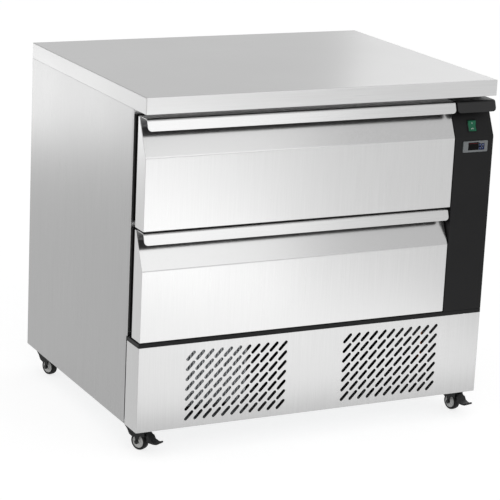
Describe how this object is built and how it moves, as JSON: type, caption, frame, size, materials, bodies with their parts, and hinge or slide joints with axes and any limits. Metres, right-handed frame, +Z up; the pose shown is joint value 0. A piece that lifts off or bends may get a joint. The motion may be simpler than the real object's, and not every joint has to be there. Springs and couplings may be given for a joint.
{
  "type": "refrigerated drawer counter",
  "caption": "Low stainless counter with two refrigerated drawers that pull by a folded lip, a black control column, a vented lower panel and swivel casters.",
  "frame": {"origin": "on the floor, under the middle of the counter's outline", "axes": "+X to the user's right, -Y to the front where the drawers open, +Z up"},
  "size_m": [0.905, 0.7, 0.84],
  "materials": {
    "worktop_steel": "brushed stainless, grain along the width",
    "side_steel": "brushed stainless, upright grain",
    "front_steel": "brushed stainless, fine horizontal grain",
    "frame_steel": "bright stainless",
    "panel_steel": "brushed stainless",
    "galvanised_steel": "galvanised, satin",
    "inner_steel": "satin stainless",
    "rail_steel": "bright zinc",
    "foam_wall": "pale liner",
    "black_moulding": "black, fine satin grain",
    "gasket_rubber": "matt black",
    "rocker_green": "dark green, translucent",
    "bezel_grey": "silver grey",
    "window_black": "tinted, glossy",
    "key_blue": "dark blue",
    "compressor_black": "black enamel",
    "coil_fins": "plain fins",
    "fan_plastic": "black",
    "motor_metal": "dark grey",
    "copper_pipe": "drawn copper",
    "tray_plastic": "black",
    "caster_zinc": "bright zinc",
    "caster_black": "black, satin",
    "hub_grey": "light grey",
    "tyre_black": "matt black"
  },
  "bodies": {
    "cabinet": {"worktop": "worktop_steel", "left_side_panel": "side_steel", "right_side_panel": "side_steel", "back_panel": "galvanised_steel", "base_plate": "galvanised_steel", "left_wall": "foam_wall", "right_wall": "foam_wall", "rear_wall": "foam_wall", "insulated_floor": "foam_wall", "insulated_ceiling": "foam_wall", "front_frame": "frame_steel", "lower_front_panel": "panel_steel", "lower_trim_strip": "black_moulding", "control_column": "black_moulding", "switch_housing": "black_moulding", "thermostat_housing": "bezel_grey", "thermostat_window": "window_black", "cord_gland": "black_moulding", "compressor": "compressor_black", "condenser_coil": "coil_fins", "condenser_fan_motor": "motor_metal", "evaporation_tray": "tray_plastic", "refrigerant_pipes": "copper_pipe", "evaporator_coil": "coil_fins", "evaporator_cover": "inner_steel", "fixed_rails": "rail_steel", "caster_plates": "caster_zinc"},
    "drawer_1": {"drawer_1_front": "front_steel", "drawer_1_inner_panel": "foam_wall", "drawer_1_gasket": "gasket_rubber", "drawer_1_box": "inner_steel", "drawer_1_inner_rails": "rail_steel"},
    "drawer_1_middle_rails": {"drawer_1_middle_rails": "rail_steel"},
    "drawer_2": {"drawer_2_front": "front_steel", "drawer_2_inner_panel": "foam_wall", "drawer_2_gasket": "gasket_rubber", "drawer_2_box": "inner_steel", "drawer_2_inner_rails": "rail_steel"},
    "drawer_2_middle_rails": {"drawer_2_middle_rails": "rail_steel"},
    "power_rocker": {"power_rocker": "rocker_green"},
    "thermostat_key_1": {"thermostat_key_1": "key_blue"},
    "thermostat_key_2": {"thermostat_key_2": "key_blue"},
    "thermostat_key_3": {"thermostat_key_3": "key_blue"},
    "thermostat_key_4": {"thermostat_key_4": "key_blue"},
    "condenser_fan_blade": {"condenser_fan_blade": "fan_plastic"},
    "evaporator_fan_blade": {"evaporator_fan_blade": "fan_plastic"},
    "caster_front_left_fork": {"caster_front_left_fork": "caster_black"},
    "caster_front_left_wheel": {"caster_front_left_hub": "hub_grey", "caster_front_left_tyre": "tyre_black"},
    "caster_front_left_pedal": {"caster_front_left_pedal": "caster_black"},
    "caster_front_right_fork": {"caster_front_right_fork": "caster_black"},
    "caster_front_right_wheel": {"caster_front_right_hub": "hub_grey", "caster_front_right_tyre": "tyre_black"},
    "caster_front_right_pedal": {"caster_front_right_pedal": "caster_black"},
    "caster_rear_left_fork": {"caster_rear_left_fork": "caster_black"},
    "caster_rear_left_wheel": {"caster_rear_left_hub": "hub_grey", "caster_rear_left_tyre": "tyre_black"},
    "caster_rear_right_fork": {"caster_rear_right_fork": "caster_black"},
    "caster_rear_right_wheel": {"caster_rear_right_hub": "hub_grey", "caster_rear_right_tyre": "tyre_black"}
  },
  "joints": [
    {"name": "drawer_1_slide", "type": "slide", "parent": "cabinet", "child": "drawer_1", "axis": [0, -1, 0], "range_m": [0, 0.52]},
    {"name": "drawer_1_middle_slide", "type": "slide", "parent": "cabinet", "child": "drawer_1_middle_rails", "axis": [0, -1, 0], "range_m": [0, 0.26]},
    {"name": "drawer_2_slide", "type": "slide", "parent": "cabinet", "child": "drawer_2", "axis": [0, -1, 0], "range_m": [0, 0.52]},
    {"name": "drawer_2_middle_slide", "type": "slide", "parent": "cabinet", "child": "drawer_2_middle_rails", "axis": [0, -1, 0], "range_m": [0, 0.26]},
    {"name": "power_rocker_tilt", "type": "hinge", "parent": "cabinet", "child": "power_rocker", "pos_m": [0.3965, -0.33145, 0.72822], "axis": [1, 0, 0], "range_deg": [-16, 0]},
    {"name": "thermostat_key_1_press", "type": "slide", "parent": "cabinet", "child": "thermostat_key_1", "axis": [0, 1, 0], "range_m": [0, 0.0007], "stiffness_N_per_m": 300, "springref_m": -0.0005},
    {"name": "thermostat_key_2_press", "type": "slide", "parent": "cabinet", "child": "thermostat_key_2", "axis": [0, 1, 0], "range_m": [0, 0.0007], "stiffness_N_per_m": 300, "springref_m": -0.0005},
    {"name": "thermostat_key_3_press", "type": "slide", "parent": "cabinet", "child": "thermostat_key_3", "axis": [0, 1, 0], "range_m": [0, 0.0007], "stiffness_N_per_m": 300, "springref_m": -0.0005},
    {"name": "thermostat_key_4_press", "type": "slide", "parent": "cabinet", "child": "thermostat_key_4", "axis": [0, 1, 0], "range_m": [0, 0.0007], "stiffness_N_per_m": 300, "springref_m": -0.0005},
    {"name": "condenser_fan_spin", "type": "hinge", "parent": "cabinet", "child": "condenser_fan_blade", "pos_m": [-0.24, -0.201, 0.165], "axis": [0, 1, 0], "continuous": true},
    {"name": "evaporator_fan_spin", "type": "hinge", "parent": "cabinet", "child": "evaporator_fan_blade", "pos_m": [0.3125, 0.16, 0.535], "axis": [1, 0, 0], "continuous": true},
    {"name": "caster_front_left_swivel", "type": "hinge", "parent": "cabinet", "child": "caster_front_left_fork", "pos_m": [-0.424, -0.268, 0.06], "axis": [0, 0, 1], "continuous": true},
    {"name": "caster_front_left_roll", "type": "hinge", "parent": "caster_front_left_fork", "child": "caster_front_left_wheel", "pos_m": [-0.41461, -0.28566, 0.021], "axis": [0.8829, 0.4695, 0], "continuous": true},
    {"name": "caster_front_left_brake", "type": "hinge", "parent": "caster_front_left_fork", "child": "caster_front_left_pedal", "pos_m": [-0.40616, -0.30155, 0.044], "axis": [0.8829, 0.4695, 0], "range_deg": [0, 12]},
    {"name": "caster_front_right_swivel", "type": "hinge", "parent": "cabinet", "child": "caster_front_right_fork", "pos_m": [0.424, -0.268, 0.06], "axis": [0, 0, 1], "continuous": true},
    {"name": "caster_front_right_roll", "type": "hinge", "parent": "caster_front_right_fork", "child": "caster_front_right_wheel", "pos_m": [0.42816, -0.28756, 0.021], "axis": [0.9781, 0.2079, 0], "continuous": true},
    {"name": "caster_front_right_brake", "type": "hinge", "parent": "caster_front_right_fork", "child": "caster_front_right_pedal", "pos_m": [0.4319, -0.30517, 0.044], "axis": [0.9781, 0.2079, 0], "range_deg": [0, 12]},
    {"name": "caster_rear_left_swivel", "type": "hinge", "parent": "cabinet", "child": "caster_rear_left_fork", "pos_m": [-0.424, 0.3, 0.06], "axis": [0, 0, 1], "continuous": true},
    {"name": "caster_rear_left_roll", "type": "hinge", "parent": "caster_rear_left_fork", "child": "caster_rear_left_wheel", "pos_m": [-0.41716, 0.28121, 0.021], "axis": [0.9397, 0.342, 0], "continuous": true},
    {"name": "caster_rear_right_swivel", "type": "hinge", "parent": "cabinet", "child": "caster_rear_right_fork", "pos_m": [0.424, 0.3, 0.06], "axis": [0, 0, 1], "continuous": true},
    {"name": "caster_rear_right_roll", "type": "hinge", "parent": "caster_rear_right_fork", "child": "caster_rear_right_wheel", "pos_m": [0.43084, 0.28121, 0.021], "axis": [0.9397, 0.342, 0], "continuous": true}
  ],
  "couplings": [
    {"joint": "drawer_1_middle_slide", "follows": "drawer_1_slide", "ratio": 0.5},
    {"joint": "drawer_2_middle_slide", "follows": "drawer_2_slide", "ratio": 0.5}
  ]
}
